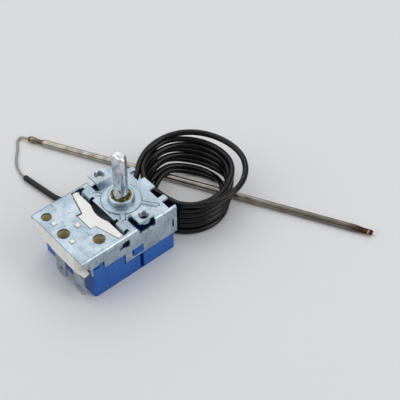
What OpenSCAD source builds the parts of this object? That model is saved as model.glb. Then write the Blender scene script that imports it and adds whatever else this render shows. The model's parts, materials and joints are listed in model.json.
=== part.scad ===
// Capillary oven thermostat: pressed frame, spindle, diaphragm capsule, ceramic rocker,
// snap switch, terminal block, moulded housing, and a sleeved capillary with its sensor bulb.
// The origin lies on the spindle axis at the top face of the two mounting ears.
// +X runs along the terminal edge, +Y from the terminals to the rear, +Z up along the spindle.

/* [Frame plate] */
// Width of the frame across its two side bands
plate_w = 33.3; // [33:0.1:36]
// Spindle axis to the terminal edge
front_reach = 31.7; // [31:0.1:34]
// Spindle axis to the rear edge
rear_reach = 14.3; // [14:0.1:16]
// Sheet thickness
sheet = 1; // [0.8:0.1:1.1]
// Outer radius of the long bends
bend_r = 1.3; // [1.2:0.1:1.8]
// Height of the ears above the plate
ear_rise = 2.9; // [2.5:0.1:3.2]
// Distance between the two ear holes
ear_pitch = 28; // [27:0.5:28.5]
// Length of an ear along Y
ear_len = 7.3; // [7:0.1:8.4]
// Flat width of an ear along X
ear_w = 6.3; // [6:0.1:6.8]
// Radius of a tapped ear hole
ear_hole_r = 1.65; // [1.4:0.05:1.7]
// Wall of the plunged collar round each ear hole
ear_collar_wall = 0.9; // [0.6:0.1:1.2]
// Radius of the stiffening star's disc
star_r = 8.3; // [8:0.1:8.6]
// Height of the star above the plate
star_h = 0.6; // [0.4:0.1:0.7]
// Width of a star arm
star_arm_w = 2.5; // [2.2:0.1:3]

/* [Side bands] */
// Depth of the rear part of a band below the plate's top
band_rear_h = 15; // [14:0.1:16]
// Depth of the middle part
band_mid_h = 9.6; // [9:0.1:10.5]
// Depth of the front part
band_front_h = 6.3; // [6:0.1:7]
// Depth of the lip that runs on to the front corner
band_lip_h = 2.2; // [2:0.1:3]

/* [Bush and spindle] */
// Radius of the bush, and of the collar's bore
bush_r = 4.2; // [4:0.1:4.6]
// Wall of the plunged collar
collar_wall = 1.1; // [0.8:0.1:1.3]
// How far the bush lies below the collar's rim
bush_sink = 0.7; // [0.2:0.1:1]
// Radius of the spindle
spindle_r = 3; // [2.8:0.1:3.2]
// Running clearance of the spindle in its bush
spindle_gap = 0.05; // [0.02:0.01:0.09]
// Length of the spindle above the ears
spindle_len = 21.5; // [15:0.5:30]
// Depth of the flat
flat_depth = 1.4; // [1:0.1:1.6]
// Length of the flat
flat_len = 18; // [10:0.5:18]
// Chamfer at the spindle's end
spindle_chamfer = 0.7; // [0.4:0.1:1]

/* [Capsule] */
// Radius of the diaphragm capsule
capsule_r = 11.5; // [11:0.1:11.6]
// Thickness of the capsule
capsule_h = 3.1; // [2.6:0.1:3.4]
// Gap between plate and capsule
capsule_gap = 0.7; // [0.6:0.1:0.8]
// Height of the thrust button below the capsule
button_h = 0.7; // [0.6:0.1:1]

/* [Lever] */
// Distance from the lever's end to the face of the side band
lever_inset = 1.85; // [1.8:0.05:2.4]
// Half width of the lever's front lobe
lobe_half = 4.15; // [3.5:0.1:4.5]
// Distance from the spindle axis to the front of the lobe
lobe_reach = 18.2; // [17.8:0.1:18.6]
// Gap between the lever and the window's edge
lever_gap = 0.45; // [0.4:0.05:0.6]
// Depth of the bent pivot tabs below the plate's top
tab_h = 6.6; // [6:0.1:7]
// Width of a pivot tab
tab_w = 5.2; // [4.6:0.1:5.2]
// Radius of the push rod
pushrod_r = 1; // [0.8:0.1:1.2]

/* [Terminal block] */
// Height of the block below the plate
block_h = 8.5; // [8:0.1:9]
// Rise of the step at the left end of the block's lower edge
block_step = 0.9; // [0.5:0.1:1.5]
// Gap between the block and the side bands
block_gap = 1.85; // [1.8:0.05:2.4]
// Radius of the small recess
recess_small_r = 2.1; // [1.8:0.1:2.4]
// Radius of the two large recesses
recess_large_r = 2.5; // [2.2:0.1:2.8]
// Depth of the recesses from the plate
recess_depth = 5; // [4:0.1:5.5]
// Side of a locating nib
nib_side = 1.8; // [1.4:0.1:2.2]

/* [Terminals] */
// Width of a terminal blade
blade_w = 6.3; // [4.8:0.1:6.4]
// Thickness of the terminals
blade_t = 0.8; // [0.6:0.1:0.9]
// Length of a blade below the block
blade_len = 11.4; // [9:0.1:12.5]
// Distance of the left blade's middle from the middle of the frame
blade_1_x = 0.6; // [0:0.1:1]
// Distance of the right blade's middle from the face of the side band
blade_2_inset = 4.45; // [4.2:0.05:4.8]
// Radius of a contact rivet
contact_r = 1.6; // [1.2:0.1:1.8]

/* [Housing] */
// Depth of the whole body below the ears
body_depth = 27; // [26:0.1:30]
// Wall of the housing
wall = 1.6; // [1.2:0.1:1.8]
// How far the housing's face lies inside the band's face
face_inset = 0.2; // [0.1:0.1:0.4]
// Gap between the housing and the bands
band_gap = 0.3; // [0.2:0.05:0.5]
// Radius of the housing's upright corners
corner_r = 1.2; // [0.8:0.1:2]

/* [Capillary and bulb] */
// Diameter of the black sleeve
sleeve_d = 2.5; // [2.2:0.1:2.5]
// Diameter of the bare capillary
capillary_d = 1; // [0.8:0.1:1.2]
// Radius at the middle of the coil's upper turns
coil_r = 18.2; // [17:0.1:18.6]
// Turns that lie stacked on each other
coil_turns = 7; // [5:1:8]
// Diameter of the sensor bulb
bulb_d = 3; // [2.6:0.1:3.2]
// Length of the bulb's full-width tube
bulb_tube_len = 142; // [100:1:160]
// Length of the brazed joint
ferrule_len = 3.2; // [2:0.1:5]
// Length of the narrowed neck behind the joint
neck_len = 3.5; // [2:0.1:5]
// Length of the flattened tip
tip_len = 6.5; // [4:0.1:8]

/* [Hidden] */
$fn = 48;
e = 0.01;
half_w = plate_w/2;
block_half = half_w - sheet - block_gap;
lever_half = half_w - lever_inset;
blade_2_x = half_w - blade_2_inset;
plate_top = -ear_rise;
plate_low = plate_top - sheet;
floor_z = -body_depth;

// side bands: places along Y
band_front_y = -(front_reach - 4.7);
lip_end_y = band_front_y - 1.2;
notch_y = [-24, -21.7];
band_step_y = -11.6;
band_rear_z = plate_top - band_rear_h;
band_mid_z = plate_top - band_mid_h;
band_front_z = plate_top - band_front_h;
band_lip_z = plate_top - band_lip_h;
notch_rise = 0.6;
band_window_y = [-14, -9];
band_window_drop = [2.5, 6.5];
lug_window_y = [-8.2, -2.7];
lug_window_z = [band_rear_z + 1.6, band_rear_z + 5.1];
band_dimple_y = 12.4;
band_dimple = [0.9, 4.4];
dimple_z = band_mid_z - 1.9;
ear_lead_in = 0.5;
bush_lead_in = 0.4;
front_tab_w = 2.4;
front_tab_h = 10.4;

// ears
ear_in_x = half_w - ear_w;
ear_front_y = -3.9;
ear_rear_y = ear_front_y + ear_len;
ear_gap = 0.2;
ear_slope = 1.45;
ear_cut_drop = 3.5;
ear_collar_depth = 2;

// plate window and tabs
window_rear_y = -9;
tab_in_x = lever_half - 6.5;
tab_face_y = window_rear_y - 0.6;
notch_w = 1.3;
notch_depth = 1.3;
window_end_x = lever_half + lever_gap;

// rear edge: [inner x, outer x] of the slots, mirrored
rear_slot_depth = 3.1;
rear_slots = [[3.4, 8.8], [11.2, half_w - sheet]];

// star arms: angle from +X and reach of each, round pressed beads
star_arms = [[36.5, 15.6], [-35, 12]];
star_bead_h = star_h - 0.1;
star_bead_r = (pow(star_arm_w/2, 2) + star_bead_h*star_bead_h)/(2*star_bead_h);
star_hollow = 0.8;
groove_r = 1;
groove_depth = 0.5;

// lever
lever_rear_y = -10.8;
lever_end_y = -12.9;
lever_mid_y = -15.9;
lever_mid_x = 4.4;
lever_notch_r = 12.1;
lever_top = plate_top - 0.4;
lever_plate_h = 3.5;
capsule_top = plate_low - capsule_gap;
capsule_low = capsule_top - capsule_h;
button_low = capsule_low - button_h;
seat_gap = 0.05;
stud_r = 1.4;
stud_h = 2.6;
arm_top = button_low - seat_gap;
arm_h = 2.5;
arm_half = 3.6;
arm_reach = 2.4;
pivot_y = -9.1;
pivot_z = plate_top - tab_h;
foot_gap = 0.1;
foot_h = 1.8;
lever_low = pivot_z - foot_gap - foot_h;
spring_r = 2.6;
spring_y = -1;

// terminal block
block_top = plate_low;
block_low = plate_low - block_h;
block_left_x = -(block_half + 0.1);
block_chamfer_x = block_half - 2.6;
block_rear_y = -14;
block_step_x = -4.5;
slot_half = lobe_half + 1.05;
slot_front_y = -(lobe_reach + 0.9);
web_top = lever_top - lever_plate_h - 2;
recess_y = -(front_reach - 3.9);
recess_a = [-(half_w - 5.15), recess_y];
recess_b = [-0.3, recess_y];
recess_c = [half_w - 6.05, -19];
nibs = [[-6.7, recess_y + 0.2], [5.1, recess_y + 0.2], [-0.1, -21.2]];
nib_rise = 0.5;
nib_gap = 0.15;
rivet_r = 1.2;
rivet_head_r = 1.9;
rivet_head_h = 0.8;

// switch
blade_y = -(front_reach - 0.3);
leg_low = block_low - blade_t;
spring_t = 0.2;
spring_half_w = 2.3;
pushrod_y = -17;
hook_x = block_half - 5.2;
spring_end_x = -8.5;
spring_top = leg_low - 0.5;
spring_slot_x = [-3.6, 6.4];
spring_slot_y = 1.45;
spring_slot_w = 0.5;
contact_x = -6.5;
contact_h = 1.3;
contact_foot_in = contact_x + 3;
contact_foot_out = contact_x - 2.5;
contact_gap = 1.25;
fixed_top = spring_top - spring_t - contact_h - contact_gap;
foot_top = fixed_top - 1.3;
hook_h = 2.4;

// housing
housing_half = half_w - face_inset;
inner_half = half_w - sheet - seat_gap;
housing_front_y = band_front_y;
housing_rear_y = rear_reach - 1.1;
housing_top = band_front_z - 1.5;
rear_wall_z = capsule_low - 1.2;
housing_floor = floor_z + 1.8;
slit_y = -3.6;
slit_w = 1.5;
lug_out = 0.6;

// sleeve, coil, capillary and bulb, all lying on the floor
exit_point = [-(half_w - 5.15), housing_rear_y, -13];
grommet_r = 2.4;
coil_low = [1.5, 32.2];
coil_high = [-2, 35.2];
coil_narrow = 1;
coil_steps = 5;
turn_pitch = 0.94*sleeve_d;
coil_h = sleeve_d + (coil_turns - 1)*turn_pitch;
bulb_angle = 29;
bulb_start = [-71.3, 2.7];
bulb_neck_r = bulb_d*0.42;
bulb_flat = 1.3;
sleeve_z = floor_z + 1.3;
capillary_z = floor_z + 0.6;
lead_route = [
    [exit_point[0], housing_rear_y - 1.4, -13], [exit_point[0], housing_rear_y + 1, -12.9],
    [-12.6, 17.2, -12.2], [-15.6, 20.2, -11.6],
    [-18.4, 24.2, -11], [-20.4, 29, -10.4], [-21, 34.4, -9.8], [-20.1, 40.4, -9.2],
    [-17, 46.4, -8.7], [-12, 51.4, -8.5], [-5.6, 54.8, -8.5], [1.4, 56.6, -8.8],
    [8.2, 56.4, -9.4], [14, 53.6, -10.2], [18, 48.8, -11], [20.2, 42.4, -11.4],
    [20, 35.4, -11.6], [18, 28.6, -11.4], [14.4, 22.8, -11.2], [9.2, 18.8, -11.4]
];
tail_route = [
    [-2, 15.4, sleeve_z], [-9, 15.4, sleeve_z], [-15.6, 15.6, sleeve_z], [-21.2, 13.4, sleeve_z],
    [-24.8, 8.8, sleeve_z], [-26.4, 3, sleeve_z], [-27.8, -2.6, sleeve_z], [-30.6, -6.6, sleeve_z],
    [-34.8, -8.6, sleeve_z], [-40, -9.5, sleeve_z], [-46, -10.5, sleeve_z], [-53.1, -11.6, sleeve_z]
];
capillary_route = [
    [-53.1, -11.6, capillary_z + 0.6], [-55.8, -11.7, capillary_z], [-59.6, -10.9, capillary_z],
    [-63.2, -9.3, capillary_z], [-66.5, -6.8, capillary_z], [-69.5, -4.2, capillary_z],
    [-72.2, -2.4, capillary_z], [-73.8, -1.3, capillary_z], [-74.5, -0.2, capillary_z],
    [-74.5, 0.8, capillary_z + 0.3], [-73.7, 1.5, capillary_z + 0.7], [-71.3, 2.7, floor_z + bulb_d/2]
];
inner_lead_route = [
    [-9, 4, capsule_low + 1], [-9.4, 5.6, capsule_low - 1.6], [-10, 7.6, capsule_low - 3.8],
    [-10.8, 9.4, exit_point[2] + 0.4], [-11.4, 11, exit_point[2]]
];

// An outline in YZ, extruded from x0 to x1
module along_x(x0, x1) {
    translate([x0, 0, 0]) rotate([90, 0, 90]) linear_extrude(x1 - x0) children();
}

// An outline in XZ, extruded from y0 to y1
module along_y(y0, y1) {
    translate([0, y1, 0]) rotate([90, 0, 0]) linear_extrude(y1 - y0) children();
}

// A box between two corners
module box(a, b) {
    translate(a) cube(b - a);
}

module both_sides() {
    children();
    mirror([1, 0, 0]) children();
}

// A tube of n sides swept along points, ring by ring
function unit(v) = v/norm(v);
function heading(p, i) = unit(p[min(i + 1, len(p) - 1)] - p[max(i - 1, 0)]);
function side_of(d) = unit(cross(abs(d[2]) > 0.9 ? [1, 0, 0] : [0, 0, 1], d));
function ring_at(p, i, r, n) =
    let (d = heading(p, i), s = side_of(d), u = cross(d, s))
    [for (k = [0 : n - 1]) p[i] + r*(cos(360*(k + 0.5)/n)*s + sin(360*(k + 0.5)/n)*u)];

module swept_tube(p, r, n) {
    rings = len(p);
    points = [for (i = [0 : rings - 1]) each ring_at(p, i, r, n)];
    walls = [for (i = [0 : rings - 2]) for (k = [0 : n - 1])
        let (k2 = (k + 1) % n)
        each [[i*n + k, i*n + k2, (i + 1)*n + k2], [i*n + k, (i + 1)*n + k2, (i + 1)*n + k]]];
    start = [[for (k = [n - 1 : -1 : 0]) k]];
    end = [[for (k = [0 : n - 1]) (rings - 1)*n + k]];
    polyhedron(points, concat(walls, start, end));
}

// Upper outline of the bent channel, in XZ
module channel_outline(inset, r) {
    w = half_w - inset;
    top = plate_top - inset;
    translate([-w, floor_z]) square([2*w, top - r - floor_z]);
    translate([-(w - r), top - r - e]) square([2*(w - r), r + e]);
    for (s = [-1, 1]) translate([s*(w - r), top - r]) circle(r);
}

// What is cut away below the side bands, in YZ; grow widens the cut's complement for the housing
module band_clearance(grow) {
    polygon([
        [-60, -60], [-60, band_lip_z - grow], [lip_end_y, band_lip_z - grow],
        [band_front_y - grow, band_lip_z - 1.6 - grow], [band_front_y - grow, band_front_z - grow],
        [notch_y[0] - grow, band_front_z - grow], [notch_y[0] - grow, band_front_z + notch_rise - grow],
        [notch_y[1] - grow, band_front_z + notch_rise - grow], [notch_y[1] - grow, band_mid_z - grow],
        [band_step_y - grow, band_mid_z - grow], [band_step_y - grow, band_rear_z - grow],
        [60, band_rear_z - grow], [60, -60]
    ]);
}

// Sheared outline of an ear with its two slopes; drop sinks it by the sheet thickness
module ear_form(drop) {
    low = plate_low - e;
    run = ear_slope/ear_rise;
    top = -drop;
    fall = top - low;
    shift = drop*0.6;
    intersection() {
        along_y(ear_front_y - drop, ear_rear_y)
            polygon([[half_w + drop, top], [ear_in_x + shift, top], [ear_in_x + shift - run*fall, low],
                [half_w + drop, low]]);
        along_x(0, half_w + drop)
            polygon([[ear_front_y - drop, top], [ear_rear_y - shift, top],
                [ear_rear_y - shift + run*fall, low], [ear_front_y - drop, low]]);
    }
}

// Arms of the star: round bars with round ends, sunk below the plate; only their crowns show
module star_beads(r, z) {
    both_sides() for (a = star_arms) rotate(a[0]) translate([0, 0, z]) {
        rotate([0, 90, 0]) cylinder(h = a[1] - star_arm_w/2, r = r);
        translate([a[1] - star_arm_w/2, 0, 0]) sphere(r);
    }
}

// Disc round the collar with a round edge, and its arms
module star() {
    rotate_extrude() intersection() {
        union() {
            translate([0, plate_top - e]) square([star_r - star_h, star_h + e]);
            translate([star_r - star_h, plate_top]) circle(star_h);
        }
        translate([0, plate_top - e]) square([star_r + 1, star_h + 1]);
    }
    intersection() {
        star_beads(star_bead_r, plate_top + star_bead_h - star_bead_r);
        box([-half_w, -half_w, plate_top - e], [half_w, half_w, 0]);
    }
}

// Plan of the lever's window, without the notches beside the tabs
module window_plan() {
    g = lever_gap;
    polygon([
        [-window_end_x, window_rear_y], [window_end_x, window_rear_y],
        [window_end_x, lever_end_y - g], [lever_mid_x + g, lever_mid_y - g],
        [lobe_half + g, lever_mid_y - g], [lobe_half + g, -lobe_reach - g],
        [-lobe_half - g, -lobe_reach - g], [-lobe_half - g, lever_mid_y - g],
        [-lever_mid_x - g, lever_mid_y - g], [-window_end_x, lever_end_y - g]
    ]);
    for (s = [-1, 1]) for (x = [tab_in_x - notch_w/2, tab_in_x + tab_w + notch_w/2])
        translate([s*x - notch_w/2, window_rear_y - e]) square([notch_w, notch_depth]);
}

module band_features() {
    // window beside the lever
    box([0, band_window_y[0], plate_top - band_window_drop[1]],
        [half_w + 1, band_window_y[1], plate_top - band_window_drop[0]]);
    // window for the housing's snap lug
    box([0, lug_window_y[0], lug_window_z[0]], [half_w + 1, lug_window_y[1], lug_window_z[1]]);
    // lanced slot near the rear
    box([0, band_dimple_y - band_dimple[0]/2, dimple_z],
        [half_w + 1, band_dimple_y + band_dimple[0]/2, dimple_z + band_dimple[1]]);
    // opening below the ear
    box([ear_in_x, ear_front_y - ear_gap, plate_top - ear_cut_drop],
        [half_w + 1, ear_rear_y + ear_gap, 1]);
}

module frame_plate() {
    color("lightsteelblue") {
        difference() {
            along_y(-front_reach, rear_reach) channel_outline(0, bend_r);
            along_y(-front_reach - 1, rear_reach + 1) channel_outline(sheet, bend_r - sheet);
            along_x(-half_w - 1, half_w + 1) band_clearance(0);
            both_sides() band_features();
            both_sides() ear_form(sheet);
            both_sides() box([ear_in_x - ear_slope, ear_front_y - ear_gap, plate_low - e],
                [half_w, ear_front_y + e, plate_top + e]);
            translate([0, 0, plate_low - 1]) linear_extrude(sheet + 2) window_plan();
            both_sides() for (s = rear_slots)
                box([s[0], rear_reach - rear_slot_depth, plate_low - 1],
                    [s[1], rear_reach + 1, plate_top + 1]);
            translate([0, 0, plate_low - 1]) cylinder(h = sheet + 2, r = bush_r);
            translate([0, 0, plate_low - e]) cylinder(h = star_h, r = star_r - star_hollow);
            intersection() {
                star_beads(groove_r, plate_low + groove_depth - groove_r);
                box([-half_w, -half_w, plate_low - 1], [half_w, half_w, plate_top]);
            }
            for (h = [[recess_a, recess_small_r], [recess_b, recess_large_r], [recess_c, recess_large_r]])
                translate([h[0][0], h[0][1], plate_low - 1]) cylinder(h = sheet + 2, r = h[1]);
            for (n = nibs) translate([n[0], n[1], plate_top])
                cube([nib_side + 2*nib_gap, nib_side + 2*nib_gap, 2*sheet + 1], center = true);
        }
        // star of stiffening ribs round the collar, and the collar itself
        difference() {
            star();
            translate([0, 0, plate_low - 1]) cylinder(h = ear_rise + 2, r = bush_r);
            both_sides() ear_form(sheet);
            both_sides() box([ear_in_x - ear_slope, ear_front_y - ear_gap, plate_low],
                [half_w, ear_front_y + e, 0]);
        }
        rotate_extrude() translate([bush_r, 0]) collar_section();
        // ears with their plunged, tapped collars
        both_sides() difference() {
            union() {
                difference() {
                    ear_form(0);
                    ear_form(sheet);
                }
                translate([ear_pitch/2, 0, -sheet - ear_collar_depth])
                    cylinder(h = sheet + ear_collar_depth - e, r = ear_hole_r + ear_collar_wall);
            }
            translate([ear_pitch/2, 0, -10]) cylinder(h = 20, r = ear_hole_r);
            translate([ear_pitch/2, 0, -ear_lead_in])
                cylinder(h = ear_lead_in + e, r1 = ear_hole_r, r2 = ear_hole_r + ear_lead_in);
        }
        // pivot tabs bent down from the window's rear edge
        both_sides() along_x(tab_in_x, tab_in_x + tab_w) tab_section();
        // pointed tabs bent in at the front end of each band
        both_sides() along_y(band_front_y - 0.9, band_front_y - 0) polygon([
            [half_w, band_lip_z + 1], [half_w, plate_top - front_tab_h],
            [half_w - 0.5, plate_top - front_tab_h],
            [half_w - front_tab_w, band_front_z + 2], [half_w - front_tab_w, band_lip_z + 1]
        ]);
    }
}

// Wall of the plunged collar with its flared foot, measured from the bore
module collar_section() {
    flare = 1.3;
    difference() {
        translate([0, plate_low]) square([collar_wall + flare, -plate_low]);
        translate([collar_wall, plate_top + flare]) square([flare + 1, -plate_top]);
        translate([collar_wall + flare, plate_top + flare]) circle(flare);
        translate([collar_wall, -0.35]) rotate(45) square(1);
    }
}

// A pivot tab in YZ: a quarter bend and the straight tab
module tab_section() {
    difference() {
        translate([tab_face_y + bend_r, plate_top - bend_r]) circle(bend_r);
        translate([tab_face_y + bend_r, plate_top - bend_r]) circle(bend_r - sheet);
        translate([tab_face_y - 1, plate_top - 2*bend_r - 1]) square([2*bend_r + 2, bend_r + 1]);
        translate([tab_face_y + bend_r, plate_top - 2*bend_r]) square([2*bend_r, 2*bend_r + 1]);
    }
    translate([tab_face_y, pivot_z]) square([sheet, tab_h - bend_r + e]);
    translate([tab_face_y + bend_r - e, plate_low])
        square([window_rear_y - tab_face_y - bend_r + 1, sheet]);
}

module bush() {
    color("darkgoldenrod") difference() {
        translate([0, 0, plate_low]) cylinder(h = -plate_low - bush_sink, r = bush_r);
        translate([0, 0, plate_low - 1]) cylinder(h = ear_rise + sheet + 2, r = spindle_r + spindle_gap);
        translate([0, 0, -bush_sink - bush_lead_in])
            cylinder(h = bush_lead_in + e, r1 = spindle_r + spindle_gap, r2 = spindle_r + 0.5);
    }
}

// Round shaft with a flat towards the terminals; a stud of the capsule turns in its lower end
module spindle() {
    low = capsule_top + seat_gap;
    color("silver") difference() {
        union() {
            translate([0, 0, low]) cylinder(h = spindle_len - low - spindle_chamfer, r = spindle_r);
            translate([0, 0, spindle_len - spindle_chamfer])
                cylinder(h = spindle_chamfer, r1 = spindle_r, r2 = spindle_r - spindle_chamfer);
        }
        box([-spindle_r - 1, -spindle_r - 1, spindle_len - flat_len],
            [spindle_r + 1, -spindle_r + flat_depth, spindle_len + 1]);
        // run-out of the milling cutter at the foot of the flat
        translate([0, -spindle_r + flat_depth - 6, spindle_len - flat_len]) rotate([0, 90, 0])
            cylinder(h = 2*spindle_r + 2, r = 6, center = true);
        translate([0, 0, low - 1]) cylinder(h = stud_h + 1, r = stud_r + spindle_gap);
        translate([0, 0, spindle_len - 0.4]) cylinder(h = 0.4 + e, r1 = 0.1, r2 = 0.6);
    }
}

// Two pressed, rippled diaphragms welded at the rim, with a central stud
module capsule() {
    t = capsule_top;
    b = capsule_low;
    m = (t + b)/2;
    color([0.16, 0.17, 0.19]) {
        rotate_extrude($fn = 96) polygon([
            [0, t], [3.4, t], [3.9, t - 0.5], [4.7, t - 0.5], [5.3, t - 0.1],
            [6.1, t - 0.1], [6.7, t - 0.6], [7.5, t - 0.6], [8.1, t - 0.2], [8.9, t - 0.2],
            [9.7, t - 0.9], [10.2, m + 0.4], [capsule_r, m + 0.4],
            [capsule_r, m - 0.4], [10.2, m - 0.4], [9.4, b + 0.5],
            [8.1, b + 0.2], [6.7, b + 0.6], [5.3, b + 0.1],
            [3.9, b + 0.4], [3.2, b], [0, b]
        ]);
        translate([0, 0, t - e]) cylinder(h = stud_h, r = stud_r);
    }
}

module thrust_button() {
    color("ivory") intersection() {
        translate([0, 0, button_low + 3]) sphere(3);
        translate([0, 0, button_low - e]) cylinder(h = button_h + e, r = 1.8);
    }
}

module capsule_lead() {
    color("silver") difference() {
        swept_tube(inner_lead_route, capillary_d/2, 8);
        rotate_extrude($fn = 96) polygon([
            [0, capsule_low + 0.2], [9.4, capsule_low + 0.5],
            [10.2, capsule_low + 1.15], [0, capsule_low + 3]
        ]);
    }
}

// Bow-tie plan of the lever, symmetric about the YZ plane
module lever_plan() {
    polygon([
        [-lever_half, lever_rear_y], [lever_half, lever_rear_y],
        [lever_half, lever_end_y], [lever_mid_x, lever_mid_y],
        [lobe_half, lever_mid_y], [lobe_half, -lobe_reach],
        [-lobe_half, -lobe_reach], [-lobe_half, lever_mid_y],
        [-lever_mid_x, lever_mid_y], [-lever_half, lever_end_y]
    ]);
}

// Ceramic rocker: flush top in the window, a rib below it, two feet under the pivot tabs,
// and an arm that reaches back under the capsule
module lever() {
    rib_front = lever_end_y - 0.4;
    color("white") {
        difference() {
            union() {
                translate([0, 0, lever_top - lever_plate_h]) linear_extrude(lever_plate_h) lever_plan();
                box([-lever_half + 0.6, rib_front, lever_low],
                    [lever_half - 0.6, lever_rear_y, lever_top - 1]);
            }
            translate([0, 0, arm_top - e]) cylinder(h = 10, r = lever_notch_r, $fn = 96);
            translate([-lever_mid_x - 1.2, rib_front - 1, lever_low - 1])
                cube([2*lever_mid_x + 2.4, 5, 1.8]);
        }
        both_sides() box([tab_in_x + 0.2, lever_rear_y - e, lever_low],
            [tab_in_x + tab_w - 0.2, pivot_y + 0.9, pivot_z - foot_gap]);
        translate([0, 0, arm_top - arm_h]) linear_extrude(arm_h) {
            translate([-arm_half, rib_front]) square([2*arm_half, arm_reach - arm_half - rib_front]);
            translate([0, arm_reach - arm_half]) circle(arm_half);
        }
    }
}

// Wound wire between the housing's floor and the lever's arm
module lever_spring() {
    turns = 8;
    steps = 14;
    wire = 0.3;
    low = housing_floor + wire;
    top = arm_top - arm_h - wire - seat_gap;
    closed = 0.09;
    route = [for (i = [0 : turns*steps])
        let (a = 360*i/steps, f = i/(turns*steps))
        [spring_r*cos(a), spring_y + spring_r*sin(a),
            low + (top - low)*min(1, max(0, (f - closed)/(1 - 2*closed)))]];
    color("gray") swept_tube(route, wire, 6);
}

module pushrod() {
    top = lever_top - lever_plate_h - seat_gap;
    low = spring_top + seat_gap;
    color("ivory") translate([0, pushrod_y, 0]) {
        translate([0, 0, low]) cylinder(h = top - low - 0.4, r = pushrod_r);
        translate([0, 0, top - 0.4 - e]) cylinder(h = 0.4, r1 = pushrod_r, r2 = pushrod_r - 0.4);
    }
}

// Thin blade that pivots in the notch of terminal 2
module snap_spring() {
    color([0.80, 0.66, 0.38]) difference() {
        box([spring_end_x, pushrod_y - spring_half_w, spring_top - spring_t],
            [hook_x - 0.1, pushrod_y + spring_half_w, spring_top]);
        for (s = [-1, 1]) translate([0, pushrod_y + s*spring_slot_y, spring_top])
            box([spring_slot_x[0], -spring_slot_w/2, -1], [spring_slot_x[1], spring_slot_w/2, 1]);
        translate([contact_x, pushrod_y, spring_top - 1]) cylinder(h = 2, r = 0.7);
    }
}

module moving_contact() {
    low = spring_top - spring_t - contact_h;
    color("gainsboro") translate([contact_x, pushrod_y, 0]) {
        translate([0, 0, low]) cylinder(h = contact_h, r = contact_r);
        translate([0, 0, low + contact_h - e]) cylinder(h = spring_t + 2*e, r = 0.7);
        translate([0, 0, spring_top]) cylinder(h = 0.35, r = 1.1);
    }
}

module fixed_contact() {
    color("gainsboro") translate([contact_x, pushrod_y, 0]) {
        translate([0, 0, foot_top]) cylinder(h = fixed_top - foot_top, r = contact_r);
        translate([0, 0, foot_top - blade_t - 0.3]) cylinder(h = blade_t + 0.3 + e, r = 0.7);
    }
}

// Push-on blade with cropped corners and its eye, below the block
module blade(x) {
    low = block_low - blade_len;
    crop = 1.2;
    difference() {
        along_y(blade_y, blade_y + blade_t) polygon([
            [x - blade_w/2, block_low], [x + blade_w/2, block_low], [x + blade_w/2, low + crop],
            [x + blade_w/2 - crop, low], [x - blade_w/2 + crop, low], [x - blade_w/2, low + crop]
        ]);
        translate([x, blade_y - 1, low + 3.8]) rotate([-90, 0, 0]) cylinder(h = 4, r = 0.85);
    }
}

module terminal_1() {
    drop_y = housing_front_y + wall + 0.6;
    color("silver") difference() {
        union() {
            blade(blade_1_x);
            box([blade_1_x - blade_w/2, blade_y, leg_low],
                [blade_1_x + blade_w/2, drop_y + blade_t, block_low]);
            box([contact_foot_out, drop_y - 3, leg_low], [blade_1_x, drop_y + blade_t, block_low]);
            box([contact_foot_out, drop_y, foot_top - blade_t],
                [contact_foot_in, drop_y + blade_t, block_low]);
            box([contact_foot_out, drop_y, foot_top - blade_t],
                [contact_foot_in, pushrod_y + 2, foot_top]);
        }
        translate([recess_b[0], recess_b[1], leg_low - 1]) cylinder(h = blade_t + 2, r = rivet_r);
        translate([contact_x, pushrod_y, foot_top - 2]) cylinder(h = 3, r = 0.7);
    }
}

module terminal_2() {
    leg_rear = pushrod_y + 2.4;
    color("silver") difference() {
        union() {
            blade(blade_2_x);
            box([hook_x, blade_y, leg_low], [block_half - 0.4, leg_rear, block_low]);
            box([hook_x, blade_y, leg_low], [blade_2_x + blade_w/2, blade_y + 2.4, block_low]);
            box([hook_x, pushrod_y - 2.4, leg_low - hook_h], [hook_x + blade_t, leg_rear, block_low]);
        }
        translate([recess_c[0], recess_c[1], leg_low - 1]) cylinder(h = blade_t + 2, r = rivet_r);
    }
}

// Two rivets, each with a formed head in its recess and one below the terminal
module terminal_rivets() {
    seat = plate_top - recess_depth - sheet;
    color("tan") for (c = [recess_b, recess_c]) translate([c[0], c[1], 0]) {
        translate([0, 0, seat]) cylinder(h = rivet_head_h, r = rivet_head_r);
        translate([0, 0, leg_low - rivet_head_h]) cylinder(h = rivet_head_h, r = rivet_head_r - 0.2);
        translate([0, 0, leg_low - e]) cylinder(h = seat - leg_low + 2*e, r = rivet_r);
    }
}

// Plan of the ceramic block; its front right corner is cut back
module block_plan() {
    difference() {
        polygon([
            [block_left_x, -front_reach], [block_chamfer_x, -front_reach], [block_half, band_front_y],
            [block_half, block_rear_y], [slot_half, lever_mid_y - 0.9], [slot_half, slot_front_y],
            [-slot_half, slot_front_y], [-slot_half, lever_mid_y - 0.9], [-block_half, block_rear_y],
            [-block_half, band_front_y]
        ]);
    }
}

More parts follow.
